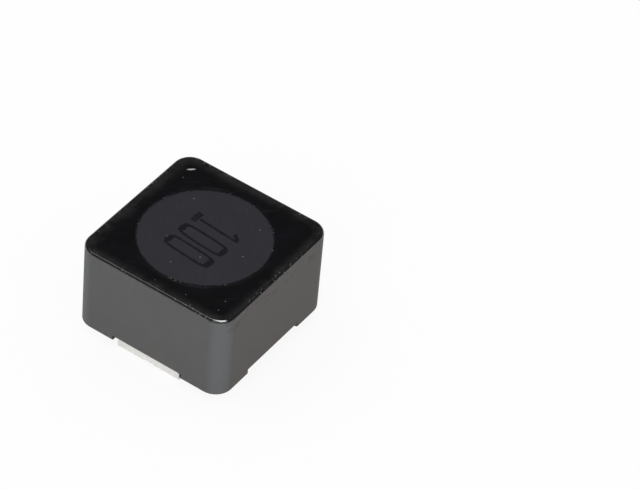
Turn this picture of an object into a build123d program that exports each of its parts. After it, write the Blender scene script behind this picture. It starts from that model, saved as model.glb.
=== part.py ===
# Shielded surface-mount power inductor: a wound ferrite drum in a square ferrite ring.
# The drum is sealed into the ring with epoxy at the top and stands on two stamped clip terminals,
# glued under its bottom flange. Millimetres, +Z up, origin under the middle at the solder pads' level.
# The terminals face -X and +X. The visible lead comes out at the (-X, -Y) corner.
import os
from math import cos, radians, sin
from build123d import *

os.makedirs("parts", exist_ok=True)

# Ring core: the square magnetic shield
ring_width = 12.5
ring_height = 7.1
ring_corner_radius = 1.35
ring_top_rounding = 0.22
ring_foot_chamfer = 0.12
ring_wall = 0.90  # thinnest wall, at the middle of each side
lobe_radius = 1.04
lobe_beyond_bore = 0.55  # lobe centre outside the bore's wall
lobe_cusp_rounding = 0.20
bore_rim_chamfer = 0.12
notch_beside_lip = 0.35  # each notch is this much wider than a terminal's lip, at both ends
notch_depth = 0.50

# Drum core
drum_gap = 0.31  # radial gap between a flange and the bore
flange_thickness = 1.10
flange_chamfer = 0.33
post_radius = 2.50

# Winding: enamelled round wire
wire_diameter = 0.55
wire_layers = 3
layer_pitch = 0.48
coil_clearance = 0.02
lead_side_count = 10  # a lead's round section is drawn with this many flats
lead_bend_radius = 0.45
lead_to_board = 0.05
lead_to_foot = 0.05  # the ring's feet clear the lead that runs under them
lead_to_tab = 0.01
lead_cut = -0.45  # end of the lead, along the short tab's edge from its middle
lead_upright = 0.45  # the lead's upright run, along the long tab's edge from its middle
lead_root = 0.15  # how deep a lead's end runs into the coil
hidden_lead_gap = 0.065

# Clip terminals: tinned sheet
sheet = 0.15
pad_step = 0.12  # the pad lies this much lower than the plate
plate_gap = 1.96  # bare strip of the drum between the two plates
plate_overhang = 0.41  # beyond the drum's flange
tab_overhang = 0.36  # the tabs' straight edges, beyond the flange
short_tab_angle = 28.5  # directions of the tabs, from the Y axis round towards the pad
long_tab_angle = 44.0
tab_edge_length = 1.60
key_width = 1.90
key_depth = 1.12
tab_slit_width = 0.20
tab_slit_depth = 0.43
tab_slit_angles = (21.7, 36.0)
pad_width = 5.20
pad_length = 2.00  # from the crease to the lip's outer face
pad_relief_depth = 0.45  # how far the cut beside the pad reaches behind the crease
pad_relief_width = 0.14
pad_relief_angle = 53.0
joggle_run = 0.20
joggle_radius = 0.15
joggle_root = 0.30
lip_setback = 0.20  # from the ring's outer wall
lip_bend_radius = 0.45
lip_to_notch = 0.10
lip_tip_rounding = 0.40
slot_width = 0.98
slot_length = 1.10  # from the lip's outer face inwards
slot_rise = 0.37

# Adhesive, solder and epoxy
glue_thickness = 0.03
glue_margin = 0.15
solder_coat = 0.030
solder_wetting = 0.28  # how far the solder runs onto a tab
solder_lift = 0.05
solder_long_start = -0.54  # along a tab's edge, from its middle
solder_long_end = 0.55
solder_short_start = -0.25
solder_short_end = 0.50
solder_cone_radius = 0.45
solder_cone_height = 0.25
film_thickness = 0.05
film_setback = 0.45
seal_depth = 0.85
disc_recess = 0.10  # the drum's top face lies this much lower than the film

# Levels and radii that follow
plate_bottom = pad_step
plate_top = plate_bottom + sheet
drum_bottom = plate_top + glue_thickness
lead_level = lead_to_board + wire_diameter / 2
ring_bottom = lead_to_board + wire_diameter + lead_to_foot
ring_top = ring_bottom + ring_height
film_top = ring_top + film_thickness
drum_top = film_top - disc_recess
notch_floor = ring_bottom + notch_depth
notch_width = pad_width + 2 * notch_beside_lip
window_bottom = drum_bottom + flange_thickness
window_top = drum_top - flange_thickness
bore_radius = ring_width / 2 - ring_wall
lobe_centre = bore_radius + lobe_beyond_bore
flange_radius = bore_radius - drum_gap
disc_radius = flange_radius - flange_chamfer
plate_radius = flange_radius + plate_overhang
tab_edge = flange_radius + tab_overhang
cut_span = 3 * plate_radius  # longer than any cut across a plate needs
lip_face = ring_width / 2 - lip_setback
crease = lip_face - pad_length
wire_radius = wire_diameter / 2
lead_line = tab_edge + lead_to_tab + wire_radius


def bore_outline():
    """Bore with its four corner lobes, drawn in the open sketch."""
    Circle(bore_radius)
    with PolarLocations(lobe_centre, 4, start_angle=45):
        Circle(lobe_radius)


def radial_plane(angle):
    """Upright plane through the Z axis: its X runs outwards at this angle, its Y runs up."""
    outwards = Vector(cos(radians(angle)), sin(radians(angle)), 0)
    return Plane((0, 0, 0), x_dir=outwards, z_dir=outwards.cross(Vector(0, 0, 1)))


def corner_plane(angle):
    """Radial plane at the visible lead's corner, its angle counted from -Y round towards -X."""
    return radial_plane(270 - angle)


# Ring core: pressed ferrite block with a lobed bore and a shallow notch under each side
with BuildPart() as ring_core:
    with BuildSketch(Plane.XY.offset(ring_bottom)):
        RectangleRounded(ring_width, ring_width, ring_corner_radius)
    extrude(amount=ring_height)
    fillet(ring_core.faces().sort_by(Axis.Z)[-1].edges(), ring_top_rounding)
    chamfer(ring_core.faces().sort_by(Axis.Z)[0].edges(), ring_foot_chamfer)
    with BuildSketch(Plane.XY.offset(ring_bottom)) as bore_sketch:
        bore_outline()
        fillet(bore_sketch.vertices(), lobe_cusp_rounding)
    extrude(amount=ring_height, mode=Mode.SUBTRACT)
    chamfer(ring_core.faces().sort_by(Axis.Z)[0].inner_wires()[0].edges(), bore_rim_chamfer)
    with Locations((0, 0, ring_bottom + notch_depth / 2)):
        Box(2 * ring_width, notch_width, notch_depth, mode=Mode.SUBTRACT)
        Box(notch_width, 2 * ring_width, notch_depth, mode=Mode.SUBTRACT)

# Drum core: pressed and ground ferrite, the same flange at both ends of a round post
with BuildPart() as drum_core:
    with Locations((0, 0, drum_bottom)):
        Cylinder(flange_radius, drum_top - drum_bottom, align=(Align.CENTER, Align.CENTER, Align.MIN))
    chamfer(drum_core.edges().filter_by(GeomType.CIRCLE), flange_chamfer)
    with BuildSketch(Plane.XY.offset(window_bottom)):
        Circle(2 * flange_radius)
        Circle(post_radius, mode=Mode.SUBTRACT)
    extrude(amount=window_top - window_bottom, mode=Mode.SUBTRACT)

# Winding: the coil as one turned body with a ridge for each turn of the outer layer
turns_per_layer = int((window_top - window_bottom) / wire_diameter)
coil_bottom = (window_bottom + window_top - turns_per_layer * wire_diameter) / 2
coil_top = coil_bottom + turns_per_layer * wire_diameter
coil_inside = post_radius + coil_clearance
coil_waist = coil_inside + wire_radius + (wire_layers - 1) * layer_pitch
ridge_height = wire_radius * cos(radians(30))  # two flat flanks stand for a turn's round back
bottom_exit = coil_bottom + wire_diameter  # each lead leaves between the two turns at its end
top_exit = coil_top - wire_diameter

with BuildPart() as winding:
    with BuildSketch(Plane.XZ):
        with BuildLine():
            for turn in range(turns_per_layer):
                ridge = coil_bottom + (turn + 0.5) * wire_diameter
                Polyline(
                    (coil_waist, ridge - wire_radius),
                    (coil_waist + ridge_height, ridge),
                    (coil_waist, ridge + wire_radius),
                )
            Polyline(
                (coil_waist, coil_top),
                (coil_inside, coil_top),
                (coil_inside, coil_bottom),
                (coil_waist, coil_bottom),
            )
        make_face()
    revolve(axis=Axis.Z)

    # Visible lead: out of the coil's bottom end, down the corner lobe and along both tabs' edges
    half_turn = (long_tab_angle - short_tab_angle) / 2
    between_tabs = corner_plane(short_tab_angle + half_turn)
    kink = between_tabs.from_local_coords((lead_line / cos(radians(half_turn)), lead_level, 0))
    cut_end = corner_plane(short_tab_angle).from_local_coords((lead_line, lead_level, lead_cut))
    rise = corner_plane(long_tab_angle).from_local_coords((lead_line, lead_level, lead_upright))
    outwards = Vector(rise.X, rise.Y, 0).normalized()
    climb = Vector(rise.X, rise.Y, bottom_exit)
    root = outwards * (coil_waist - lead_root) + Vector(0, 0, bottom_exit)
    with BuildLine() as visible_lead:
        FilletPolyline(cut_end, kink, rise, climb, root, radius=lead_bend_radius)
    with BuildSketch(Plane(visible_lead.line @ 0, z_dir=visible_lead.line % 0)):
        RegularPolygon(wire_radius, lead_side_count)
    sweep(path=visible_lead.line)

    # Hidden lead: out of the coil's top end and down the (+X, -Y) lobe onto the back of a tab
    hidden_lead_radius = flange_radius + hidden_lead_gap + wire_radius
    with BuildLine(radial_plane(-45)) as hidden_lead:
        FilletPolyline(
            (hidden_lead_radius, plate_top),
            (hidden_lead_radius, top_exit),
            (coil_waist - lead_root, top_exit),
            radius=lead_bend_radius,
        )
    hidden_lead_end = hidden_lead.line @ 0
    with BuildSketch(Plane(hidden_lead_end)):
        RegularPolygon(wire_radius, lead_side_count)
    sweep(path=hidden_lead.line)

# Clip terminal on the +X side: a stamped plate with slit tabs, a lowered pad and a J-bent lip
with BuildPart() as terminal_plus_x:
    with BuildSketch(Plane.XY.offset(plate_bottom)):
        Circle(plate_radius)
        with Locations((plate_gap / 2, 0)):
            Rectangle(cut_span, cut_span, align=(Align.MAX, Align.CENTER), mode=Mode.SUBTRACT)
            Rectangle(key_depth, key_width, align=(Align.MIN, Align.CENTER), mode=Mode.SUBTRACT)
        for side in (1, -1):
            for angle in (short_tab_angle, long_tab_angle):
                with PolarLocations(tab_edge, 1, start_angle=side * (90 - angle)):
                    Rectangle(
                        plate_overhang, tab_edge_length, align=(Align.MIN, Align.CENTER), mode=Mode.SUBTRACT
                    )
            for angle in tab_slit_angles:
                with PolarLocations(plate_radius, 1, start_angle=side * (90 - angle)):
                    Rectangle(2 * tab_slit_depth, tab_slit_width, mode=Mode.SUBTRACT)
        with Locations((crease, 0)):
            Rectangle(cut_span, pad_width, align=(Align.MIN, Align.CENTER), mode=Mode.SUBTRACT)
        relief_start = crease - pad_relief_depth
        relief_reach = plate_radius + tab_slit_depth
        relief_x = relief_reach * sin(radians(pad_relief_angle))
        relief_y = relief_reach * cos(radians(pad_relief_angle))
        for side in (1, -1):
            with BuildLine():
                Polyline(
                    (relief_start, side * pad_width / 2),
                    (relief_start, side * (pad_width / 2 + pad_relief_width)),
                    (relief_x, side * relief_y),
                    (cut_span, side * relief_y),
                    (cut_span, side * pad_width / 2),
                    close=True,
                )
            make_face(mode=Mode.SUBTRACT)
    extrude(amount=sheet)

    with BuildSketch(Plane.XZ):
        with BuildLine():
            FilletPolyline(
                (crease - joggle_root, plate_bottom),
                (crease, plate_bottom),
                (crease + joggle_run, 0),
                (lip_face, 0),
                (lip_face, notch_floor - lip_to_notch),
                radius=[joggle_radius, joggle_radius, lip_bend_radius],
            )
            offset(amount=sheet, side=Side.LEFT)
        make_face()
    extrude(amount=pad_width / 2, both=True)
    lip_tip = terminal_plus_x.edges().filter_by(Axis.X).group_by(Axis.Z)[-1]
    fillet(lip_tip, lip_tip_rounding)
    with Locations((lip_face + sheet, 0, slot_rise)):
        Box(
            slot_length + sheet,
            slot_width,
            2 * slot_rise,
            align=(Align.MAX, Align.CENTER, Align.MAX),
            mode=Mode.SUBTRACT,
        )

# The -X terminal is the same stamping, mirrored
with BuildPart() as terminal_minus_x:
    mirror(terminal_plus_x.part, about=Plane.YZ)

# Adhesive between each plate and the drum's bottom face
with BuildPart() as glue_plus_x:
    with BuildSketch(Plane.XY.offset(plate_top)):
        Circle(disc_radius - glue_margin)
        with Locations((plate_gap / 2 + glue_margin, 0)):
            Rectangle(cut_span, cut_span, align=(Align.MAX, Align.CENTER), mode=Mode.SUBTRACT)
            Rectangle(
                key_depth, key_width + 2 * glue_margin, align=(Align.MIN, Align.CENTER), mode=Mode.SUBTRACT
            )
        with Locations((crease - joggle_root, 0)):
            Rectangle(cut_span, cut_span, align=(Align.MIN, Align.CENTER), mode=Mode.SUBTRACT)
    extrude(amount=glue_thickness)

with BuildPart() as glue_minus_x:
    mirror(glue_plus_x.part, about=Plane.YZ)


def solder_band(tab_angle, start, end):
    """Solder that joins the visible lead to a tab's edge, from start to end along that edge."""
    with BuildPart() as band:
        with BuildSketch(corner_plane(tab_angle).offset(start)):
            with Locations((lead_line, lead_level)):
                Circle(wire_radius + solder_coat)
            with BuildLine():
                Polyline(
                    (tab_edge - solder_wetting, plate_bottom),
                    (lead_line - wire_radius / 2, plate_bottom - solder_lift),
                    (lead_line - wire_radius / 2, plate_top + 2 * solder_lift),
                    (tab_edge - solder_wetting, plate_top),
                    close=True,
                )
            make_face()
        extrude(amount=end - start)
        add(terminal_minus_x.part, mode=Mode.SUBTRACT)
        add(winding.part, mode=Mode.SUBTRACT)
    return band


solder_band_long = solder_band(long_tab_angle, solder_long_start, solder_long_end)
solder_band_short = solder_band(short_tab_angle, solder_short_start, solder_short_end)

# Solder round the hidden lead's end, on the back of the +X terminal's tab
with BuildPart() as solder_hidden_lead:
    with Locations(hidden_lead_end):
        Cone(
            solder_cone_radius,
            wire_radius + solder_coat,
            solder_cone_height,
            align=(Align.CENTER, Align.CENTER, Align.MIN),
        )
    add(winding.part, mode=Mode.SUBTRACT)

# Epoxy: fills the ring's bore round the top flange and runs over the ring's top as a thin film,
# and leaves the drum's top face bare
with BuildPart() as epoxy_seal:
    with BuildSketch(Plane.XY.offset(ring_top - seal_depth)) as seal_sketch:
        bore_outline()
        fillet(seal_sketch.vertices(), lobe_cusp_rounding)
    extrude(amount=seal_depth)
    with BuildSketch(Plane.XY.offset(ring_top)):
        film_width = ring_width - 2 * film_setback
        RectangleRounded(film_width, film_width, ring_corner_radius - film_setback)
    extrude(amount=film_thickness)
    with BuildSketch(Plane.XY.offset(drum_top)):
        Circle(disc_radius)
    extrude(amount=disc_recess, mode=Mode.SUBTRACT)
    add(drum_core.part, mode=Mode.SUBTRACT)

pieces = {
    "ring_core": ring_core,
    "drum_core": drum_core,
    "winding": winding,
    "terminal_minus_x": terminal_minus_x,
    "terminal_plus_x": terminal_plus_x,
    "glue_minus_x": glue_minus_x,
    "glue_plus_x": glue_plus_x,
    "solder_band_long": solder_band_long,
    "solder_band_short": solder_band_short,
    "solder_hidden_lead": solder_hidden_lead,
    "epoxy_seal": epoxy_seal,
}
for name, piece in pieces.items():
    piece.part.label = name
    export_step(piece.part, f"parts/{name}.step")
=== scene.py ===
import math
import bmesh
import bpy
from mathutils import Matrix, Vector, noise


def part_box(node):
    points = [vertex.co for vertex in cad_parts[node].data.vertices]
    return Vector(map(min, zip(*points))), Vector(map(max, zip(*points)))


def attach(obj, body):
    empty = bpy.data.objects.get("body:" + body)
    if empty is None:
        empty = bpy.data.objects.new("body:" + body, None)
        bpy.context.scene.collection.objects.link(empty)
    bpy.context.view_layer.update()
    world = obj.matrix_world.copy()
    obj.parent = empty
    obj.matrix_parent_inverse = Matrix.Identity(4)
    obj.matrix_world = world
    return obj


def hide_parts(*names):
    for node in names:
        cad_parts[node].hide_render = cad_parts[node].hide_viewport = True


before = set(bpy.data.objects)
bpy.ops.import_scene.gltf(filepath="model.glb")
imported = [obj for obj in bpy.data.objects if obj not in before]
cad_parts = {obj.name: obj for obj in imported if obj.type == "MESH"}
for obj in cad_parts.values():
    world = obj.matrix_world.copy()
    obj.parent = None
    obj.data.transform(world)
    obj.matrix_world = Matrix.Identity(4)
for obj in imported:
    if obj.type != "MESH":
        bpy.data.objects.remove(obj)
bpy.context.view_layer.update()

# Drum core: the ferrite spool that carries the winding, pressed and sintered in one piece.
# Its end faces are ground flat, and the top one stays bare in the middle of the part.
# Grinding has left faint slanting marks there, and handling has left smears and dust.
mm = 0.001
drum_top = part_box("drum_core")[1].z
drum_light = (0.0216, 0.0202, 0.0270, 1)
drum_dark = (0.0158, 0.0146, 0.0201, 1)
drum_rubbed = (0.0268, 0.0256, 0.0312, 1)
drum_smear = (0.0182, 0.0240, 0.0268, 1)
dust_white = (0.13, 0.15, 0.15, 1)
drum_blotch = 1.8 * mm
drum_smear_size = 2.6 * mm
drum_sheen_size = 1.5 * mm
drum_grain = 0.06 * mm
drum_relief = 0.003 * mm
grinding_mark = 0.16 * mm
grinding_stretch = (9, 1, 1)
grinding_turn = math.radians(38)
dust_patch = 1.2 * mm
disc_dust_spacing = 3.1 * mm
disc_dust_radius = 0.075 * mm


def new_finish(name):
    """A fresh material with its node tree and its one Principled shader."""
    finish = bpy.data.materials.new(name)
    finish.use_nodes = True
    return finish, finish.node_tree, finish.node_tree.nodes["Principled BSDF"]


def spot(tree, stretch=(1, 1, 1), turn=0.0):
    """The place on the surface in the part's own frame, stretched along axes turned about Z."""
    place = tree.nodes.new("ShaderNodeTexCoord")
    fit = tree.nodes.new("ShaderNodeMapping")
    fit.vector_type = "TEXTURE"
    fit.inputs["Scale"].default_value = stretch
    fit.inputs["Rotation"].default_value = (0, 0, turn)
    tree.links.new(place.outputs["Object"], fit.inputs["Vector"])
    return fit.outputs["Vector"]


def cloud(tree, size, detail=3.0, rough=0.5, stretch=(1, 1, 1), turn=0.0, seed=0.0):
    """Soft random cloud with features of about this size, from 0 to 1."""
    texture = tree.nodes.new("ShaderNodeTexNoise")
    texture.noise_dimensions = "4D"
    texture.inputs["W"].default_value = seed
    texture.inputs["Scale"].default_value = 1 / size
    texture.inputs["Detail"].default_value = detail
    texture.inputs["Roughness"].default_value = rough
    tree.links.new(spot(tree, stretch, turn), texture.inputs["Vector"])
    return texture.outputs["Fac"]


def reach(tree, value, start, end):
    """0 where the value is at start and 1 where it is at end, which may be the smaller of the two."""
    span = tree.nodes.new("ShaderNodeMapRange")
    span.interpolation_type = "SMOOTHSTEP"
    span.inputs["From Min"].default_value = start
    span.inputs["From Max"].default_value = end
    tree.links.new(value, span.inputs["Value"])
    return span.outputs["Result"]


def between(tree, amount, start, end):
    """A number that goes from start to end as the amount goes from 0 to 1."""
    span = tree.nodes.new("ShaderNodeMapRange")
    span.inputs["To Min"].default_value = start
    span.inputs["To Max"].default_value = end
    tree.links.new(amount, span.inputs["Value"])
    return span.outputs["Result"]


def combine(tree, how, *values):
    """Two values brought together by a sum such as ADD, or one changed by a sum such as SQRT."""
    sum_node = tree.nodes.new("ShaderNodeMath")
    sum_node.operation = how
    for socket, value in zip(sum_node.inputs, values):
        if isinstance(value, (int, float)):
            socket.default_value = value
        else:
            tree.links.new(value, socket)
    return sum_node.outputs["Value"]


def overlap(tree, first, *others):
    """Amounts multiplied together, so that nothing is left where any of them is 0."""
    amount = first
    for other in others:
        amount = combine(tree, "MULTIPLY", amount, other)
    return amount


def specks(tree, spacing, radius, seed=0.0, level=False):
    """Small round specks, 1 inside and 0 outside, about this far apart in space or on a level face."""
    cells = tree.nodes.new("ShaderNodeTexVoronoi")
    cells.voronoi_dimensions = "2D" if level else "3D"
    cells.inputs["Scale"].default_value = 1 / spacing
    shifted = tree.nodes.new("ShaderNodeVectorMath")
    shifted.inputs[1].default_value = (seed * spacing, seed * spacing, 0)
    tree.links.new(spot(tree), shifted.inputs[0])
    tree.links.new(shifted.outputs["Vector"], cells.inputs["Vector"])
    edge = radius / spacing
    return reach(tree, cells.outputs["Distance"], edge, edge / 2)


def dust(tree, spacing, radius, seed):
    """Specks of dust on a level face, a few of them bright and the others faint."""
    share = reach(tree, cloud(tree, dust_patch, detail=1, seed=seed), start=0.42, end=0.66)
    return overlap(tree, specks(tree, spacing, radius, seed, level=True), share)


def coat_over(tree, amount, under, over):
    """One colour laid over another by an amount from 0 to 1."""
    mix = tree.nodes.new("ShaderNodeMix")
    mix.data_type = "RGBA"
    tree.links.new(amount, mix.inputs["Factor"])
    for name, colour in (("A", under), ("B", over)):
        socket = next(s for s in mix.inputs if s.name == name and s.type == "RGBA")
        if isinstance(colour, tuple):
            socket.default_value = colour
        else:
            tree.links.new(colour, socket)
    return next(s for s in mix.outputs if s.type == "RGBA")


def relief(tree, shader, height, depth):
    """Fine relief: the height, from 0 to 1, raises the surface by up to this depth."""
    bump = tree.nodes.new("ShaderNodeBump")
    bump.inputs["Distance"].default_value = depth
    tree.links.new(height, bump.inputs["Height"])
    tree.links.new(bump.outputs["Normal"], shader.inputs["Normal"])


def dress(node, finish):
    """Gives a node of the frame its finish."""
    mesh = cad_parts[node].data
    mesh.materials.clear()
    mesh.materials.append(finish)


drum_finish, tree, shader = new_finish("ground_ferrite")
colour = coat_over(tree, cloud(tree, drum_blotch, detail=4, rough=0.6), drum_dark, drum_light)
grinding = cloud(tree, grinding_mark, rough=0.6, stretch=grinding_stretch, turn=grinding_turn, seed=2)
colour = coat_over(tree, reach(tree, grinding, start=0.50, end=0.85), colour, drum_rubbed)
smears = reach(tree, cloud(tree, drum_smear_size, detail=2, seed=7), start=0.60, end=0.78)
colour = coat_over(tree, smears, colour, drum_smear)
disc_dust = dust(tree, disc_dust_spacing, disc_dust_radius, seed=9)
colour = coat_over(tree, disc_dust, colour, dust_white)
tree.links.new(colour, shader.inputs["Base Color"])
dullness = between(tree, cloud(tree, drum_sheen_size, detail=2, seed=4), start=0.52, end=0.72)
tree.links.new(dullness, shader.inputs["Roughness"])
shader.inputs["Specular IOR Level"].default_value = 0.12
relief(tree, shader, combine(tree, "ADD", cloud(tree, drum_grain, seed=5), grinding), drum_relief)
dress("drum_core", drum_finish)

# Winding: one length of round copper wire in clear brown enamel, wound on the drum's post in three
# layers, down, up and down again. One end comes out through a corner of the ring and runs along the
# edges of two tabs, and the other goes down a second corner to the back of a tab.
wire_radius = 0.275 * mm
turn_pitch = 0.55 * mm
layer_pitch = 0.48 * mm
first_layer = 2.795 * mm
coil_low = 1.80 * mm
coil_high = 6.20 * mm
upper_turn = coil_high - turn_pitch
points_per_turn = 24
points_between = 3
wire_roundness = 3
# Each layer of the coil, by its first level, its last level and its number of turns
coil_layers = ((coil_high, coil_low, 8), (coil_low, upper_turn, 7), (upper_turn, coil_low, 6.44))
# The hidden lead rises from inside its solder by these levels in mm
hidden_lead_radius = 5.38 * mm
hidden_lead_turn = math.radians(-45)
hidden_lead_levels = (0.32, 1.8, 3.6, 5.3, 5.9)
# Then it bends in to the top of the coil, by mm from the axis and degrees round it
hidden_lead_bend = ((5.25, -45), (4.75, -42), (4.10, -33), (3.40, -18))
# The visible lead bends out from the foot of the coil, by mm from the axis, degrees and level in mm
visible_lead_bend = ((3.80, 172, 1.82), (4.05, 195, 1.90), (4.45, 212, 2.00), (5.00, 220.5, 2.06))
# Then it drops beside the long tab by these levels in mm, and runs along both tabs
visible_lead_levels = (2.06, 1.65, 1.20, 0.78)
lead_line = 5.685 * mm
lead_level = 0.325 * mm
lead_bend = 0.45 * mm
long_tab_angle = 44.0
short_tab_angle = 28.5
smooth_up_to = math.radians(40)
copper = (0.60, 0.235, 0.095, 1)
copper_dark = (0.36, 0.115, 0.045, 1)
enamel_blotch = 0.5 * mm
enamel_sheen_size = 0.3 * mm
enamel_ripple = 0.15 * mm
enamel_relief = 0.002 * mm


def polar(radius, turn, level):
    """A point at this distance from the upright axis, turned about it, at this level."""
    return Vector((radius * math.cos(turn), radius * math.sin(turn), level))


def beside_tab(angle, sideways, out, level):
    """A point by the tab at this angle from -Y round towards -X, so far along its edge from its middle."""
    outwards = polar(1, math.radians(270 - angle), 0)
    return outwards * out + Vector((outwards.y, -outwards.x, 0)) * sideways + Vector((0, 0, level))


def new_piece(name, mesh, slot, finish, *nodes):
    """Puts a finished mesh on the part, in place of the nodes that it stands for."""
    piece = bpy.data.objects.new(name, mesh)
    bpy.context.scene.collection.objects.link(piece)
    mesh.materials.clear()
    mesh.materials.append(finish)
    mesh.shade_smooth()
    mesh.set_sharp_from_angle(angle=smooth_up_to)
    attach(piece, "root")
    if nodes:
        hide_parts(*nodes)
    return piece


route = [polar(hidden_lead_radius, hidden_lead_turn, level * mm) for level in hidden_lead_levels]
for radius, degrees in hidden_lead_bend:
    route.append(polar(radius * mm, math.radians(degrees), coil_high))
turn = 0.0
for layer, (first_level, last_level, turns) in enumerate(coil_layers):
    steps = int(turns * points_per_turn)
    for step in range(steps):
        share = step / steps
        level = first_level + (last_level - first_level) * share
        route.append(polar(first_layer + layer * layer_pitch, turn + math.tau * turns * share, level))
    turn += math.tau * turns
for radius, degrees, level in visible_lead_bend:
    route.append(polar(radius * mm, math.radians(degrees), level * mm))
for level in visible_lead_levels:
    route.append(beside_tab(long_tab_angle, lead_bend, lead_line, level * mm))
kink_angle = (long_tab_angle + short_tab_angle) / 2
kink_line = lead_line / math.cos(math.radians(long_tab_angle - kink_angle))
for angle, sideways, out in (
    (long_tab_angle, lead_bend, lead_line),
    (long_tab_angle, 0, lead_line),
    (kink_angle, 0, kink_line),
    (short_tab_angle, 0, lead_line),
    (short_tab_angle, -lead_bend, lead_line),
):
    route.append(beside_tab(angle, sideways, out, lead_level))
wire = bpy.data.curves.new("wire", "CURVE")
wire.dimensions = "3D"
wire.bevel_depth = wire_radius
wire.bevel_resolution = wire_roundness
wire.use_fill_caps = True
wire.resolution_u = points_between
line = wire.splines.new("NURBS")
line.points.add(len(route) - 1)
for point, place in zip(line.points, route):
    point.co = (*place, 1)
line.order_u = 3
line.use_endpoint_u = True
wire_curve = bpy.data.objects.new("wire_curve", wire)
bpy.context.scene.collection.objects.link(wire_curve)
drawn_wire = wire_curve.evaluated_get(bpy.context.evaluated_depsgraph_get())
wire_mesh = bpy.data.meshes.new_from_object(drawn_wire)
bpy.data.objects.remove(wire_curve)

winding_finish, tree, shader = new_finish("enamelled_copper")
colour = coat_over(tree, cloud(tree, enamel_blotch), copper_dark, copper)
tree.links.new(colour, shader.inputs["Base Color"])
shader.inputs["Metallic"].default_value = 1.0
dullness = between(tree, cloud(tree, enamel_sheen_size, detail=2, seed=3), start=0.24, end=0.40)
tree.links.new(dullness, shader.inputs["Roughness"])
shader.inputs["Coat Weight"].default_value = 0.6
shader.inputs["Coat Roughness"].default_value = 0.12
relief(tree, shader, cloud(tree, enamel_ripple, detail=2), enamel_relief)
new_piece("wound_wire", wire_mesh, "enamelled_wire", winding_finish, "winding")

# Adhesive: a thin cured layer of resin that holds each terminal's plate to the drum's bottom face.
# It is pressed out flat when the plate is set down.
glue_pale = (0.34, 0.28, 0.19, 1)
glue_brown = (0.22, 0.17, 0.11, 1)
glue_blotch = 0.4 * mm
glue_ripple = 0.3 * mm
glue_relief = 0.004 * mm
glue_finish, tree, shader = new_finish("cured_glue")
colour = coat_over(tree, cloud(tree, glue_blotch, detail=2), glue_brown, glue_pale)
tree.links.new(colour, shader.inputs["Base Color"])
shader.inputs["Roughness"].default_value = 0.35
relief(tree, shader, cloud(tree, glue_ripple, detail=2, seed=1), glue_relief)
dress("glue_minus_x", glue_finish)
dress("glue_plus_x", glue_finish)

# Clip terminals: stamped and folded from thin sheet and plated with matte tin, one under each end
# of the drum. Each has slit tabs for the leads, a lowered solder pad and a lip bent up into a notch
# of the ring. The punch has left slightly rounded edges.
edge_rounding = 0.010 * mm
weld_distance = 0.004 * mm
flat_angle = math.radians(1.0)
edge_angle = math.radians(35)
tin = (0.82, 0.805, 0.78, 1)
tin_dull = (0.70, 0.685, 0.66, 1)
tin_rubbed = (0.90, 0.89, 0.87, 1)
tin_speck = (0.10, 0.085, 0.07, 1)
tin_blotch = 0.9 * mm
tin_sheen_size = 0.3 * mm
tin_speck_spacing = 0.42 * mm
tin_speck_radius = 0.05 * mm
tin_grain = 0.08 * mm
tin_relief = 0.003 * mm
rolling_mark = 0.10 * mm
rolling_stretch = (1, 8, 1)


def softened(node):
    """A copy of a node's shape with its sharp edges rounded a little."""
    shape = bmesh.new()
    shape.from_mesh(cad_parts[node].data)
    bmesh.ops.remove_doubles(shape, verts=shape.verts, dist=weld_distance)
    bmesh.ops.dissolve_limit(shape, angle_limit=flat_angle, verts=shape.verts, edges=shape.edges)
    sharp = [e for e in shape.edges if e.is_manifold and e.calc_face_angle() > edge_angle]
    bmesh.ops.bevel(
        shape,
        geom=sharp,
        offset=edge_rounding,
        segments=2,
        profile=0.5,
        affect="EDGES",
        clamp_overlap=True,
    )
    bmesh.ops.triangulate(shape, faces=shape.faces)
    mesh = bpy.data.meshes.new(node + "_shape")
    shape.to_mesh(mesh)
    shape.free()
    return mesh


terminal_finish, tree, shader = new_finish("matte_tin")
colour = coat_over(tree, cloud(tree, tin_blotch, detail=5, rough=0.6), tin_dull, tin)
rolling = cloud(tree, rolling_mark, stretch=rolling_stretch, seed=3)
colour = coat_over(tree, reach(tree, rolling, start=0.52, end=0.80), colour, tin_rubbed)
colour = coat_over(tree, specks(tree, tin_speck_spacing, tin_speck_radius), colour, tin_speck)
tree.links.new(colour, shader.inputs["Base Color"])
shader.inputs["Metallic"].default_value = 0.85
dullness = between(tree, cloud(tree, tin_sheen_size), start=0.36, end=0.54)
tree.links.new(dullness, shader.inputs["Roughness"])
relief(tree, shader, combine(tree, "ADD", cloud(tree, tin_grain), rolling), tin_relief)
for side in ("minus_x", "plus_x"):
    node = "terminal_" + side
    new_piece("clip_" + side, softened(node), "tinned_sheet", terminal_finish, node)

# Solder: bright tin alloy, run hot onto the stripped wire. Two beads join the visible lead to the
# tabs' edges, and a small cone sits round the other lead's end on the back of a tab.
tab_edge = 5.40 * mm
tab_middle_level = 0.195 * mm
tab_back_level = 0.27 * mm
bead_root = 0.97 * wire_radius
bead_coat = 0.028 * mm
bead_wave = 0.2
bead_wave_turn = 9
bead_wetting = 0.26 * mm
bead_lowest = 0.020 * mm
tongue_spread = math.radians(30)
long_bead_span = (-0.54 * mm, 0.55 * mm)
short_bead_span = (-0.25 * mm, 0.50 * mm)
bead_rings = 28
bead_sides = 40
cone_radius = 0.44 * mm
cone_height = 0.25 * mm
cone_flare = 2.2
cone_rings = 14
solder_bright = (0.84, 0.84, 0.83, 1)
solder_dull = (0.66, 0.66, 0.66, 1)
solder_blotch = 0.25 * mm
solder_ripple = 0.2 * mm
solder_relief = 0.006 * mm


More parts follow.
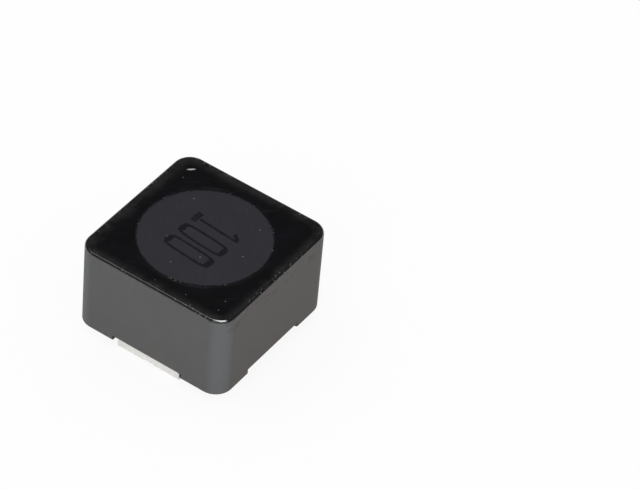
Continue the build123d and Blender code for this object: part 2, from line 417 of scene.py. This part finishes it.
def skin_of_rings(name, rings, ring_closes=False):
    """A closed mesh through rings of points, capped at both ends or run round into itself."""
    sides = len(rings[0])
    faces = []
    last = len(rings) if ring_closes else len(rings) - 1
    for i in range(last):
        here = i * sides
        there = (i + 1) % len(rings) * sides
        for j in range(sides):
            k = (j + 1) % sides
            faces.append((here + j, here + k, there + k, there + j))
    if not ring_closes:
        faces.append(tuple(range(sides - 1, -1, -1)))
        faces.append(tuple(range(last * sides, last * sides + sides)))
    mesh = bpy.data.meshes.new(name)
    mesh.from_pydata([point for ring in rings for point in ring], [], faces)
    shape = bmesh.new()
    shape.from_mesh(mesh)
    bmesh.ops.recalc_face_normals(shape, faces=shape.faces)
    shape.to_mesh(mesh)
    shape.free()
    return mesh


def bead_ring(tab_angle, sideways, fullness, wave):
    """One ring round the wire, drawn out to a tongue on the tab, where fullness goes from 0 to 1."""
    tongue_turn = math.atan2(tab_middle_level - lead_level, tab_edge - lead_line)
    ring = []
    for j in range(bead_sides):
        turn = math.tau * j / bead_sides
        off_tongue = math.remainder(turn - tongue_turn, math.tau) / tongue_spread
        tongue = bead_wetting * math.exp(-off_tongue * off_tongue)
        radius = bead_root + fullness * (bead_coat + bead_wave * bead_coat * wave + tongue)
        out = lead_line + radius * math.cos(turn)
        level = max(bead_lowest, lead_level + radius * math.sin(turn))
        ring.append(beside_tab(tab_angle, sideways, out, level))
    return ring


def solder_bead(name, tab_angle, span):
    """Solder along the visible lead on one tab's edge, round and thin at both ends."""
    rings = []
    for i in range(bead_rings):
        share = i / (bead_rings - 1)
        fullness = math.sqrt(max(0.0, 1 - abs(2 * share - 1) ** 4))
        wave = math.sin(bead_wave_turn * share + tab_angle)
        rings.append(bead_ring(tab_angle, span[0] + (span[1] - span[0]) * share, fullness, wave))
    return skin_of_rings(name, rings)


def solder_cone(name):
    """Solder round the hidden lead's end, wide at its foot and hollow in its slope."""
    foot = polar(hidden_lead_radius, hidden_lead_turn, tab_back_level)
    rings = []
    for i in range(cone_rings):
        share = i / (cone_rings - 1)
        radius = wire_radius + (cone_radius - wire_radius) * (1 - share) ** cone_flare
        turns = [math.tau * j / bead_sides for j in range(bead_sides)]
        rings.append([foot + polar(radius, turn, cone_height * share) for turn in turns])
    return skin_of_rings(name, rings)


solder_finish, tree, shader = new_finish("bright_solder")
colour = coat_over(tree, cloud(tree, solder_blotch), solder_dull, solder_bright)
tree.links.new(colour, shader.inputs["Base Color"])
shader.inputs["Metallic"].default_value = 1.0
dullness = between(tree, cloud(tree, solder_ripple, detail=2), start=0.14, end=0.30)
tree.links.new(dullness, shader.inputs["Roughness"])
relief(tree, shader, cloud(tree, solder_ripple, detail=2, seed=3), solder_relief)
long_bead = solder_bead("solder_bead_long", long_tab_angle, long_bead_span)
new_piece("solder_bead_long", long_bead, "solder", solder_finish, "solder_band_long")
short_bead = solder_bead("solder_bead_short", short_tab_angle, short_bead_span)
new_piece("solder_bead_short", short_bead, "solder", solder_finish, "solder_band_short")
cone = solder_cone("solder_cone")
new_piece("solder_cone", cone, "solder", solder_finish, "solder_hidden_lead")

# Ring core: the square ferrite shield round the drum, pressed and sintered in one piece and left
# bare on its walls. The epoxy has crept over its top face and down its rounded rim, where it dried
# thin and uneven, and handling has left scuffs under the rim and crumbs on it.
ring_low, ring_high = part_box("ring_core")
ring_top = ring_high.z
ring_grey = (0.0970, 0.0963, 0.0958, 1)
ring_warm = (0.1015, 0.0992, 0.0974, 1)
ring_cool = (0.0925, 0.0942, 0.0946, 1)
ring_pale = (0.120, 0.119, 0.117, 1)
ring_olive = (0.1060, 0.0975, 0.0930, 1)
# Painted reflection: the lighter, bluish grey laid on the upright corners
painted_corner_reflection = (0.1220, 0.1285, 0.1318, 1)
ring_scuff = (0.066, 0.067, 0.060, 1)
wall_blotch = 2.2 * mm
wall_grain = 0.05 * mm
pressing_mark = 0.25 * mm
pressing_stretch = (1, 1, 14)
# The front wall is the one on the -Y side, and its olive tinge fades out behind it
front_wall_full = 0.2 * mm
front_wall_end = 0.4 * mm
olive_share = 0.8
# The upright corners get a painted reflection, a lighter bluish tint, where X and Y, taken together, are
# this far from the axis
corner_start = 11.15 * mm
corner_full = 11.75 * mm
scuff_size = 0.65 * mm
scuff_stretch = (1.7, 1.7, 0.8)
scuff_end_depth = 1.7 * mm
scuff_full_depth = 0.8 * mm
pore_spacing = 0.55 * mm
pore_radius = 0.055 * mm
pore_share = 0.55
ring_grain = 0.07 * mm
ring_relief = 0.003 * mm
# The epoxy's wetted edge on the rim, by depth below the ring's top, and its two sizes of wander
wet_end_depth = 0.21 * mm
wet_full_depth = 0.15 * mm
rim_wander = (0.30 * mm, 0.13 * mm)
rim_fine_wander = (0.10 * mm, 0.07 * mm)
top_start_depth = 0.05 * mm
top_full_depth = 0.005 * mm
wet_run_size = 0.34 * mm
wet_run_height = 5.0
wet_black = (0.0028, 0.0028, 0.0033, 1)
wet_grey = (0.0135, 0.0135, 0.0137, 1)
wet_pale = (0.0270, 0.0270, 0.0268, 1)
wet_patch = 1.6 * mm
wet_fleck = 0.8 * mm
# The epoxy on top thins out between these distances from its own middle
smear_start = 5.16 * mm
smear_end = 6.02 * mm
smear_middle = Vector((-0.11 * mm, -0.17 * mm, 0))
smear_wander = (0.9 * mm, 0.34 * mm)
# Crumbs lie on the rim, from a distance off the middle outwards and down to a depth below the top
crumb_white = (0.078, 0.078, 0.076, 1)
crumb_start = 5.80 * mm
crumb_full = 6.00 * mm
crumb_end_depth = 0.30 * mm
crumb_full_depth = 0.15 * mm
crumb_patch = 1.4 * mm
crumb_spacing = 0.30 * mm
crumb_radius = 0.070 * mm
crumb_height = 3.0


def place_along(tree, axis):
    """How far the place on the surface lies along one of the part's axes."""
    place = tree.nodes.new("ShaderNodeTexCoord")
    split = tree.nodes.new("ShaderNodeSeparateXYZ")
    tree.links.new(place.outputs["Object"], split.inputs["Vector"])
    return split.outputs[axis]


def off_line(tree, value, line):
    """How far a value lies from a line, to either side."""
    return combine(tree, "ABSOLUTE", combine(tree, "SUBTRACT", value, line))


def off_middle(tree, how, middle):
    """The distances from a middle along X and along Y, brought together by a sum such as MAXIMUM."""
    off_x = off_line(tree, place_along(tree, "X"), middle.x)
    off_y = off_line(tree, place_along(tree, "Y"), middle.y)
    return combine(tree, how, off_x, off_y)


def above_depth(tree, height, end_depth, full_depth):
    """0 at and below one depth under the ring's top, and 1 at and above a smaller one."""
    return reach(tree, height, ring_top - end_depth, ring_top - full_depth)


def wandering(tree, value, wander, seed):
    """The value moved up and down by a cloud, given by its size and swing, so that its edge wanders."""
    size, swing = wander
    shift = between(tree, cloud(tree, size, detail=4, rough=0.65, seed=seed), -swing, swing)
    return combine(tree, "ADD", value, shift)


def smear(tree, full):
    """Colour of the epoxy on top and its thinness: full in the middle, thin and patchy at the rim."""
    off_centre = wandering(tree, off_middle(tree, "MAXIMUM", smear_middle), smear_wander, seed=8)
    thinness = reach(tree, off_centre, smear_start, smear_end)
    patches = reach(tree, cloud(tree, wet_patch, detail=4, rough=0.6, seed=11), start=0.34, end=0.56)
    thin = coat_over(tree, patches, wet_black, wet_grey)
    flecks = reach(tree, cloud(tree, wet_fleck, detail=5, rough=0.6, seed=12), start=0.54, end=0.76)
    thin = coat_over(tree, flecks, thin, wet_pale)
    return coat_over(tree, thinness, full, thin), thinness


ring_finish, tree, shader = new_finish("pressed_ferrite")
height = place_along(tree, "Z")
axis_line = Vector((0, 0, 0))

# The bare walls: warm and cool blotches under a fine grey grain, with upright marks of the press, and a
# painted reflection that makes the upright corners lighter and bluish
blotches = reach(tree, cloud(tree, wall_blotch), start=0.35, end=0.65)
colour = coat_over(tree, blotches, ring_warm, ring_cool)
grains = reach(tree, cloud(tree, wall_grain, rough=0.6), start=0.30, end=0.80)
colour = coat_over(tree, grains, colour, ring_grey)
pressing = cloud(tree, pressing_mark, rough=0.6, stretch=pressing_stretch, seed=3)
colour = coat_over(tree, reach(tree, pressing, start=0.60, end=0.95), colour, ring_pale)
behind_wall = (ring_low.y + front_wall_end, ring_low.y + front_wall_full)
front_wall = reach(tree, place_along(tree, "Y"), *behind_wall)
colour = coat_over(tree, overlap(tree, front_wall, olive_share), colour, ring_olive)
# Painted reflection: the upright corners are made lighter and bluish
corners = reach(tree, off_middle(tree, "ADD", axis_line), corner_start, corner_full)
colour = coat_over(tree, corners, colour, painted_corner_reflection)
under_rim = above_depth(tree, height, scuff_end_depth, scuff_full_depth)
rubbing = cloud(tree, scuff_size, detail=4, rough=0.6, stretch=scuff_stretch, seed=16)
scuffs = overlap(tree, under_rim, front_wall, reach(tree, rubbing, start=0.53, end=0.66))
colour = coat_over(tree, scuffs, colour, ring_scuff)
pores = specks(tree, pore_spacing, pore_radius, seed=3)
colour = coat_over(tree, overlap(tree, pores, pore_share), colour, ring_scuff)

# The rim and the top face, wetted by epoxy down to a ragged line
ragged = wandering(tree, wandering(tree, height, rim_wander, seed=5), rim_fine_wander, seed=6)
wetted = above_depth(tree, ragged, wet_end_depth, wet_full_depth)
on_top = above_depth(tree, height, top_start_depth, top_full_depth)
wet_colour = coat_over(tree, on_top, wet_black, smear(tree, wet_black)[0])
colour = coat_over(tree, wetted, colour, wet_colour)

# Pale crumbs that lie in patches along the rim
near_rim = reach(tree, off_middle(tree, "MAXIMUM", axis_line), crumb_start, crumb_full)
upper_rim = above_depth(tree, height, crumb_end_depth, crumb_full_depth)
patchy = reach(tree, cloud(tree, crumb_patch, detail=2, seed=21), start=0.40, end=0.58)
scattered = specks(tree, crumb_spacing, crumb_radius, seed=1, level=True)
crumbs = overlap(tree, near_rim, upper_rim, patchy, scattered)
colour = coat_over(tree, crumbs, colour, crumb_white)
tree.links.new(colour, shader.inputs["Base Color"])
tree.links.new(between(tree, wetted, start=0.75, end=0.16), shader.inputs["Roughness"])
shader.inputs["Specular IOR Level"].default_value = 0.20
tree.links.new(wetted, shader.inputs["Coat Weight"])
shader.inputs["Coat Roughness"].default_value = 0.09
bumps = combine(tree, "ADD", cloud(tree, ring_grain, seed=2), overlap(tree, crumbs, crumb_height))
runs = overlap(tree, wetted, cloud(tree, wet_run_size, detail=5, rough=0.65, seed=14), wet_run_height)
relief(tree, shader, combine(tree, "ADD", bumps, runs), ring_relief)
dress("ring_core", ring_finish)

# Epoxy: black resin run into the gap round the drum's top flange and over the ring's top face,
# where it set with a gloss. It sinks over the four corner lobes, most of all at the back one, slopes
# down to a feathered edge on the drum's lower disc and thins out in a wandering line near the rim.
seal_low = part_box("epoxy_seal")[0].z
flange_radius = 5.04 * mm
flange_chamfer = 0.33 * mm
disc_radius = flange_radius - flange_chamfer
bore_radius = 5.35 * mm
lobe_centre = 5.90 * mm
lobe_radius = 1.04 * mm
lobe_mouth = 0.93 * lobe_radius
skin_gap = 0.002 * mm
# The film's outer border is a square with round corners, a little off the middle
film_half = 5.68 * mm
film_squareness = 9
film_shift = Vector((-0.14 * mm, -0.10 * mm, 0))
border_drift = (1.3 * mm, 0.13 * mm)
border_fine_drift = (0.35 * mm, 0.05 * mm)
# Its inner border lies on the drum's disc
disc_lap = 0.035 * mm
disc_lap_least = 0.005 * mm
disc_lap_drift = (0.6 * mm, 0.055 * mm)
# The film is thin at both borders and full between them, with a shallow groove over the gap
film_full = 0.046 * mm
film_thin = 0.006 * mm
thinning_run = 0.9 * mm
climbing_run = 0.55 * mm
groove_radius = 5.20 * mm
groove_spread = 0.16 * mm
groove_depth = 0.006 * mm
film_drift = (1.6 * mm, 0.004 * mm)
lobe_dip = 0.07 * mm
dip_spread = 0.70 * mm
# The sink at the back corner, by distances from the axis: a long inner slope and a steep outer one
sink_start = 5.85 * mm
sink_deepest = 6.77 * mm
sink_end = 6.94 * mm
sink_half_width = 0.84 * mm
sink_depth = 0.068 * mm
gap_steps = 3
wall_step = 0.3 * mm
film_angles = 900
film_steps = 60
epoxy_black = (0.0024, 0.0024, 0.0031, 1)
epoxy_bluish = (0.0034, 0.0032, 0.0054, 1)
epoxy_wiped = (0.0085, 0.0085, 0.0098, 1)
epoxy_dust = (0.080, 0.082, 0.088, 1)
epoxy_blotch = 1.6 * mm
epoxy_ripple = 0.5 * mm
epoxy_relief = 0.003 * mm
wipe_mark = 0.30 * mm
wipe_stretch = (9, 1, 1)
wipe_turn = math.radians(-48)
feather_width = 0.14 * mm
feather_wander = (0.35 * mm, 0.10 * mm)
film_dust_spacing = 2.4 * mm
film_dust_radius = 0.07 * mm
grit_end = 0.14 * mm
grit_full = 0.06 * mm
grit_patch = 1.1 * mm
grit_spacing = 0.24 * mm
grit_radius = 0.075 * mm


def drift(place, wander, seed):
    """Smooth random offset at a place, given by the size of its waves and by its largest amount."""
    size, amount = wander
    return amount * noise.noise(place / size + Vector((seed, seed, seed)))


def ease(share):
    """0 at and below 0, 1 at and above 1, with a soft start and end."""
    share = min(1.0, max(0.0, share))
    return share * share * (3 - 2 * share)


def bore_wall(turn):
    """Distance from the axis to the ring's bore in this direction, or to the far wall of a lobe."""
    off_lobe = turn % (math.pi / 2) - math.pi / 4
    sideways = lobe_centre * math.sin(off_lobe)
    if abs(sideways) > lobe_mouth:
        return bore_radius
    return lobe_centre * math.cos(off_lobe) + math.sqrt(lobe_radius ** 2 - sideways ** 2)


def back_sink(place):
    """How far the film has sunk at a place over the back corner's lobe."""
    out = (place.x + place.y) / math.sqrt(2)
    sideways = (place.x - place.y) / math.sqrt(2)
    inner_slope = ease((out - sink_start) / (sink_deepest - sink_start))
    outer_slope = ease((sink_end - out) / (sink_end - sink_deepest))
    return sink_depth * min(inner_slope, outer_slope) * ease(1 - abs(sideways) / sink_half_width)


def film_level(place, from_disc, from_edge):
    """Level of the epoxy's top at a place, given its distances from the film's two borders."""
    level = ring_top + film_thin + (film_full - film_thin) * ease(from_edge / thinning_run)
    disc_level = drum_top + film_thin
    level = disc_level + (level - disc_level) * ease(from_disc / climbing_run)
    off_groove = (math.hypot(place.x, place.y) - groove_radius) / groove_spread
    level -= groove_depth * math.exp(-off_groove * off_groove)
    lobe = Vector((math.copysign(1, place.x), math.copysign(1, place.y), 0)) * (lobe_centre / math.sqrt(2))
    off_lobe = (place - lobe).length / dip_spread
    level -= lobe_dip * math.exp(-off_lobe * off_lobe)
    return level - back_sink(place) + drift(place, film_drift, seed=3)


def seal_section(turn):
    """The seal cut by a half plane at this angle: underside, bore wall, film and drum side in turn."""
    outwards = polar(1, turn, 0)
    wall = bore_wall(turn) - skin_gap
    drum_side = flange_radius + skin_gap
    ring_seat = ring_top + skin_gap
    drum_seat = drum_top + skin_gap
    squared = abs(outwards.x) ** film_squareness + abs(outwards.y) ** film_squareness
    square_edge = film_half / squared ** (1 / film_squareness)
    border = outwards * square_edge
    edge = square_edge + film_shift.dot(outwards)
    edge += drift(border, border_drift, seed=1) + drift(border, border_fine_drift, seed=2)
    lap = disc_lap - drift(outwards * disc_radius, disc_lap_drift, seed=4)
    inner = disc_radius - max(lap, disc_lap_least)
    section = [(drum_side + (wall - drum_side) * k / gap_steps, seal_low) for k in range(gap_steps + 1)]
    section += [(wall, ring_top - wall_step), (wall, ring_seat)]
    section += [((wall + edge) / 2, ring_seat), (edge, ring_seat)]
    for k in range(film_steps):
        radius = edge + (inner - edge) * k / (film_steps - 1)
        section.append((radius, film_level(outwards * radius, radius - inner, edge - radius)))
    section += [(inner, drum_seat), (disc_radius + skin_gap, drum_seat)]
    section += [(drum_side, drum_top - flange_chamfer), (drum_side, (seal_low + drum_top) / 2)]
    return [outwards * radius + Vector((0, 0, level)) for radius, level in section]


def off_axis(tree):
    """Distance of the place on the surface from the part's upright axis."""
    x = place_along(tree, "X")
    y = place_along(tree, "Y")
    squares = combine(tree, "ADD", combine(tree, "MULTIPLY", x, x), combine(tree, "MULTIPLY", y, y))
    return combine(tree, "SQRT", squares)


sections = [seal_section(math.tau * i / film_angles) for i in range(film_angles)]
seal_mesh = skin_of_rings("seal", sections, ring_closes=True)

epoxy_finish, tree, shader = new_finish("black_epoxy")
blotches = reach(tree, cloud(tree, epoxy_blotch), start=0.45, end=0.65)
colour = coat_over(tree, blotches, epoxy_black, epoxy_bluish)
colour, thinned = smear(tree, colour)
from_axis = off_axis(tree)
feather_line = wandering(tree, from_axis, feather_wander, seed=13)
feathered = reach(tree, feather_line, disc_radius + feather_width, disc_radius - feather_width / 2)
colour = coat_over(tree, feathered, colour, drum_dark)
wiping = cloud(tree, wipe_mark, rough=0.6, stretch=wipe_stretch, turn=wipe_turn, seed=31)
colour = coat_over(tree, reach(tree, wiping, start=0.56, end=0.80), colour, epoxy_wiped)
film_dust = dust(tree, film_dust_spacing, film_dust_radius, seed=12)
colour = coat_over(tree, film_dust, colour, epoxy_dust)
by_disc = reach(tree, off_line(tree, from_axis, disc_radius), grit_end, grit_full)
gathered = reach(tree, cloud(tree, grit_patch, detail=2, seed=24), start=0.50, end=0.62)
grit = overlap(tree, by_disc, gathered, specks(tree, grit_spacing, grit_radius, seed=5, level=True))
colour = coat_over(tree, grit, colour, epoxy_dust)
tree.links.new(colour, shader.inputs["Base Color"])
tree.links.new(between(tree, thinned, start=0.13, end=0.18), shader.inputs["Roughness"])
shader.inputs["Specular IOR Level"].default_value = 0.40
relief(tree, shader, cloud(tree, epoxy_ripple, seed=6), epoxy_relief)
new_piece("epoxy_film", seal_mesh, "black_epoxy", epoxy_finish, "epoxy_seal")

# Marking: a plain three-figure number in thin black ink on the drum's bare top face. The ink was
# pressed on with a worn die, so its cross strokes are thick and its upright strokes thin and ragged.
mark_centre = Vector((-0.28 * mm, -0.04 * mm, 0))
mark_turn = math.radians(180 - 4.3)
figure_pitch = 1.50 * mm
figure_half_width = 0.50 * mm
figure_half_height = 1.80 * mm
round_squareness = 5
upright_width = 0.18 * mm
cross_width = 0.46 * mm
stem_x = 0.10 * mm
stem_top = figure_half_height + 0.12 * mm
stem_foot = -figure_half_height + 0.27 * mm
flag_tip = (-0.42 * mm, figure_half_height - 0.55 * mm)
flag_root = (stem_x - 0.12 * mm, figure_half_height + 0.02 * mm)
foot_start = -0.42 * mm
foot_end = 0.58 * mm
ink_thickness = 0.005 * mm
ink_step = 0.045 * mm
ink_ragged = (0.14 * mm, 0.38)
ink_uneven = (0.7 * mm, 0.25)
figure_apart = 5 * mm
ink_black = (0.0020, 0.0014, 0.0054, 1)
ink_thin = (0.0105, 0.0094, 0.0158, 1)
ink_blotch = 0.30 * mm
ink_sheen_size = 0.2 * mm


def on_disc(figure, x, y):
    """A point of one figure of the number, laid on the drum's top face."""
    flat = Vector(((figure - 1) * figure_pitch + x, y, 0))
    return mark_centre + Matrix.Rotation(mark_turn, 3, "Z") @ flat + Vector((0, 0, drum_top))


def ink_line(name, figure, path, closed):
    """A ragged line of ink along a path, thick where it runs across and thin where it runs upright."""
    rings = []
    count = len(path)
    lift = Vector((0, 0, ink_thickness))
    for i, (x, y) in enumerate(path):
        before = path[i - 1] if closed or i > 0 else path[i]
        after = path[(i + 1) % count] if closed or i < count - 1 else path[i]
        heading = Vector((after[0] - before[0], after[1] - before[1])).normalized()
        half = (upright_width + (cross_width - upright_width) * heading.x ** 2) / 2
        place = Vector((x, y, figure * figure_apart))
        half_left = half * (1 + drift(place, ink_ragged, seed=1) + drift(place, ink_uneven, seed=5))
        half_right = half * (1 + drift(place, ink_ragged, seed=2) + drift(place, ink_uneven, seed=6))
        left = on_disc(figure, x - heading.y * half_left, y + heading.x * half_left)
        right = on_disc(figure, x + heading.y * half_right, y - heading.x * half_right)
        rings.append([left, right, right + lift, left + lift])
    return skin_of_rings(name, rings, closed)


def straight(start, end):
    """Points from start to end, an ink step apart, without the end itself."""
    steps = max(2, int(math.dist(start, end) / ink_step))
    return [tuple(a + (b - a) * k / steps for a, b in zip(start, end)) for k in range(steps)]


def rounded():
    """Points round a tall figure with straight sides and round ends."""
    steps = 4 * int((figure_half_width + figure_half_height) / ink_step)
    points = []
    for k in range(steps):
        across = math.cos(math.tau * k / steps)
        up = math.sin(math.tau * k / steps)
        bulge = (abs(across) ** round_squareness + abs(up) ** round_squareness) ** (-1 / round_squareness)
        points.append((figure_half_width * across * bulge, figure_half_height * up * bulge))
    return points


ink_finish, tree, shader = new_finish("marking_ink")
worn = reach(tree, cloud(tree, ink_blotch, detail=4, rough=0.6), start=0.52, end=0.72)
colour = coat_over(tree, worn, ink_black, ink_thin)
tree.links.new(colour, shader.inputs["Base Color"])
dullness = between(tree, cloud(tree, ink_sheen_size, detail=2, seed=2), start=0.45, end=0.65)
tree.links.new(dullness, shader.inputs["Roughness"])
shader.inputs["Specular IOR Level"].default_value = 0.12
foot_level = -figure_half_height
for name, figure, path, closed in (
    ("ink_flag", 0, straight(flag_tip, flag_root), False),
    ("ink_stem", 0, straight((stem_x, stem_top), (stem_x, stem_foot)), False),
    ("ink_foot", 0, straight((foot_start, foot_level), (foot_end, foot_level)), False),
    ("ink_round_middle", 1, rounded(), True),
    ("ink_round_last", 2, rounded(), True),
):
    new_piece(name, ink_line(name, figure, path, closed), "black_epoxy", ink_finish)

# Floor: a plain white sheet under the part, which shows its soft shadow.
# It is as white to the eye and in reflections as the room round it.
floor_half = 3.0
floor_white = (0.9, 0.9, 0.9, 1)
floor_glow = 0.90
floor_corners = ((-1, -1), (1, -1), (1, 1), (-1, 1))


def seen_directly(tree):
    """1 for rays from the eye, off a gloss or through glass, and 0 for rays that carry light."""
    ray = tree.nodes.new("ShaderNodeLightPath")
    seen = combine(tree, "MAXIMUM", ray.outputs["Is Camera Ray"], ray.outputs["Is Glossy Ray"])
    return combine(tree, "MAXIMUM", seen, ray.outputs["Is Transmission Ray"])


floor_mesh = bpy.data.meshes.new("floor")
floor_points = [(x * floor_half, y * floor_half, 0) for x, y in floor_corners]
floor_mesh.from_pydata(floor_points, [], [(0, 1, 2, 3)])
floor = bpy.data.objects.new("floor", floor_mesh)
bpy.context.scene.collection.objects.link(floor)
floor_finish, tree, shader = new_finish("white_sheet")
shader.inputs["Base Color"].default_value = floor_white
shader.inputs["Roughness"].default_value = 0.9
shader.inputs["Specular IOR Level"].default_value = 0.0
glow = tree.nodes.new("ShaderNodeEmission")
blend = tree.nodes.new("ShaderNodeMixShader")
tree.links.new(overlap(tree, seen_directly(tree), floor_glow), blend.inputs["Fac"])
tree.links.new(shader.outputs["BSDF"], blend.inputs[1])
tree.links.new(glow.outputs["Emission"], blend.inputs[2])
tree.links.new(blend.outputs["Shader"], tree.nodes["Material Output"].inputs["Surface"])
floor_mesh.materials.append(floor_finish)

# Light: an even white room, seen with white walls and a dark ceiling, a soft lamp overhead and a
# weak soft one by the camera. A bright strip lamp is only mirrored, in the front corner's rim and in
# the film's sink, and lights no surface.
room_white = (1, 1, 1, 1)
daylight_strength = 0.80
wall_strength = 1.0
ceiling_strength = 0.08
wall_top = 0.05
ceiling_start = 0.38
lamp_distance = 0.5
room = bpy.data.worlds.new("white_room")
bpy.context.scene.world = room
room.use_nodes = True
tree = room.node_tree
daylight = tree.nodes["Background"]
daylight.inputs["Color"].default_value = room_white
daylight.inputs["Strength"].default_value = daylight_strength
walls = tree.nodes.new("ShaderNodeBackground")
walls.inputs["Color"].default_value = room_white
direction = tree.nodes.new("ShaderNodeTexCoord")
split = tree.nodes.new("ShaderNodeSeparateXYZ")
tree.links.new(direction.outputs["Generated"], split.inputs["Vector"])
overhead = reach(tree, split.outputs["Z"], wall_top, ceiling_start)
tree.links.new(between(tree, overhead, wall_strength, ceiling_strength), walls.inputs["Strength"])
blend = tree.nodes.new("ShaderNodeMixShader")
tree.links.new(seen_directly(tree), blend.inputs["Fac"])
tree.links.new(daylight.outputs["Background"], blend.inputs[1])
tree.links.new(walls.outputs["Background"], blend.inputs[2])
tree.links.new(blend.outputs["Shader"], tree.nodes["World Output"].inputs["Surface"])


def lamp(name, towards, width, length, power, lights_surfaces=True):
    """A soft lamp with an oblong face that stands off the part, or is only mirrored in it."""
    light = bpy.data.lights.new(name, "AREA")
    light.shape = "RECTANGLE"
    light.size = width
    light.size_y = length
    light.energy = power
    stand = bpy.data.objects.new(name, light)
    out = Vector(towards).normalized()
    stand.location = out * lamp_distance
    stand.rotation_euler = out.to_track_quat("Z", "Y").to_euler()
    stand.visible_diffuse = lights_surfaces
    bpy.context.scene.collection.objects.link(stand)


lamp("lamp_overhead", (-0.10, 0.38, 0.92), width=0.32, length=0.32, power=0.40)
lamp("lamp_strip", (-0.17, -0.25, 0.95), width=0.26, length=0.56, power=5.6, lights_surfaces=False)
lamp("lamp_by_camera", (-0.80, -0.12, 0.59), width=0.22, length=0.22, power=0.42)

# Camera: a long lens that looks down on the front corner and is rolled a little to one side.
# It aims to the right of the part, which so stands left of the middle of the picture.
picture_width = 640
focal_pixels = 3555.9
camera_azimuth = math.radians(-56.052)
camera_elevation = math.radians(44.190)
camera_roll = math.radians(3.813)
camera_distance = 245.85 * mm
aim_right = 8.1128 * mm
aim_up = 2.0004 * mm
ring_middle = (ring_low + ring_high) / 2
back = polar(math.cos(camera_elevation), camera_azimuth - math.pi / 2, math.sin(camera_elevation))
level_right = polar(1, camera_azimuth, 0)
upright = back.cross(level_right)
picture_right = level_right * math.cos(camera_roll) + upright * math.sin(camera_roll)
picture_up = upright * math.cos(camera_roll) - level_right * math.sin(camera_roll)
eye = ring_middle + back * camera_distance
aim = ring_middle + picture_right * aim_right + picture_up * aim_up
look = (aim - eye).normalized()
side = look.cross(picture_up).normalized()
facing = Matrix((side, side.cross(look), -look)).transposed()
camera = bpy.data.objects.new("camera", bpy.data.cameras.new("camera"))
bpy.context.scene.collection.objects.link(camera)
bpy.context.scene.camera = camera
camera.data.lens = focal_pixels * camera.data.sensor_width / picture_width
camera.matrix_world = Matrix.Translation(eye) @ facing.to_4x4()

bpy.context.scene.view_settings.view_transform = "Standard"
